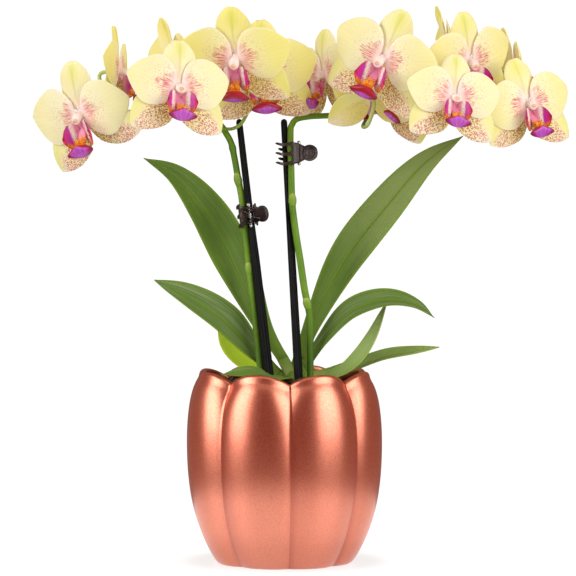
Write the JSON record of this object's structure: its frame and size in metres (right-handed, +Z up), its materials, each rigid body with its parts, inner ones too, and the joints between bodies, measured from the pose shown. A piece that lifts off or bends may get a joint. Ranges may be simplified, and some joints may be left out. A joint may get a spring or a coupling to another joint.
{
  "type": "potted orchid",
  "caption": "Small moth orchid with two staked flower spikes of pale yellow, magenta-lipped blooms, in a lobed copper cover pot.",
  "frame": {"origin": "centre of the cover pot's base, on the surface it stands on", "axes": "+Z up along the pot's axis, -Y towards the picture's camera, +X to the viewer's right"},
  "size_m": [0.3172, 0.1365, 0.3346],
  "materials": {
    "copper": "satin metallic copper glaze with a fine grain",
    "nursery": "thin black plastic",
    "bark": "rough dark bark chunks",
    "sheath": "smooth pale green living sheath",
    "leaf": "satin mid green living leaf",
    "young_leaf": "satin yellow-green living leaf",
    "stem": "smooth green living stem",
    "stake": "ribbed black plastic",
    "clip": "glossy dark brown plastic",
    "steel": "bright steel wire",
    "tepal": "soft matte pale yellow petal",
    "lip": "soft magenta lip"
  },
  "bodies": {
    "plant": {"pot": "copper", "nursery_pot": "nursery", "bark": "bark", "crown": "sheath", "leaf_1": "leaf", "leaf_2": "leaf", "leaf_3": "young_leaf", "leaf_4": "leaf", "leaf_5": "leaf", "leaf_6": "leaf", "leaf_7": "leaf", "leaf_8": "leaf", "spike_left": "stem", "stake_left": "stake", "clip_left_jaw_fixed": "clip", "clip_left_pin": "steel", "clip_left_spring": "steel", "spike_right": "stem", "stake_right": "stake", "clip_right_jaw_fixed": "clip", "clip_right_pin": "steel", "clip_right_spring": "steel", "bloom_a_tepals": "tepal", "bloom_a_lip": "lip", "bloom_b_tepals": "tepal", "bloom_b_lip": "lip", "bloom_c_tepals": "tepal", "bloom_c_lip": "lip", "bloom_d_tepals": "tepal", "bloom_d_lip": "lip", "bloom_e_tepals": "tepal", "bloom_e_lip": "lip", "bloom_f_tepals": "tepal", "bloom_f_lip": "lip", "bloom_g_tepals": "tepal", "bloom_g_lip": "lip", "bloom_h_tepals": "tepal", "bloom_h_lip": "lip", "bloom_i_tepals": "tepal", "bloom_i_lip": "lip", "bloom_j_tepals": "tepal", "bloom_j_lip": "lip", "bloom_k_tepals": "tepal", "bloom_k_lip": "lip", "bloom_l_tepals": "tepal", "bloom_l_lip": "lip", "bloom_m_tepals": "tepal", "bloom_m_lip": "lip", "bloom_n_tepals": "tepal", "bloom_n_lip": "lip", "bloom_o_tepals": "tepal", "bloom_o_lip": "lip"},
    "clip_left_jaw": {"clip_left_jaw_moving": "clip", "clip_left_spring_leg": "steel"},
    "clip_right_jaw": {"clip_right_jaw_moving": "clip", "clip_right_spring_leg": "steel"}
  },
  "joints": [
    {"name": "clip_left_hinge", "type": "hinge", "parent": "plant", "child": "clip_left_jaw", "pos_m": [-0.0204, -0.013, 0.2085], "axis": [-0.1219, 0, 0.9925], "range_deg": [0, 25], "stiffness_Nm_per_rad": 0.02, "springref_deg": -28.65},
    {"name": "clip_right_hinge", "type": "hinge", "parent": "plant", "child": "clip_right_jaw", "pos_m": [0.0089, -0.0078, 0.2455], "axis": [-0.0175, 0, 0.9998], "range_deg": [0, 25], "stiffness_Nm_per_rad": 0.02, "springref_deg": -28.65}
  ]
}
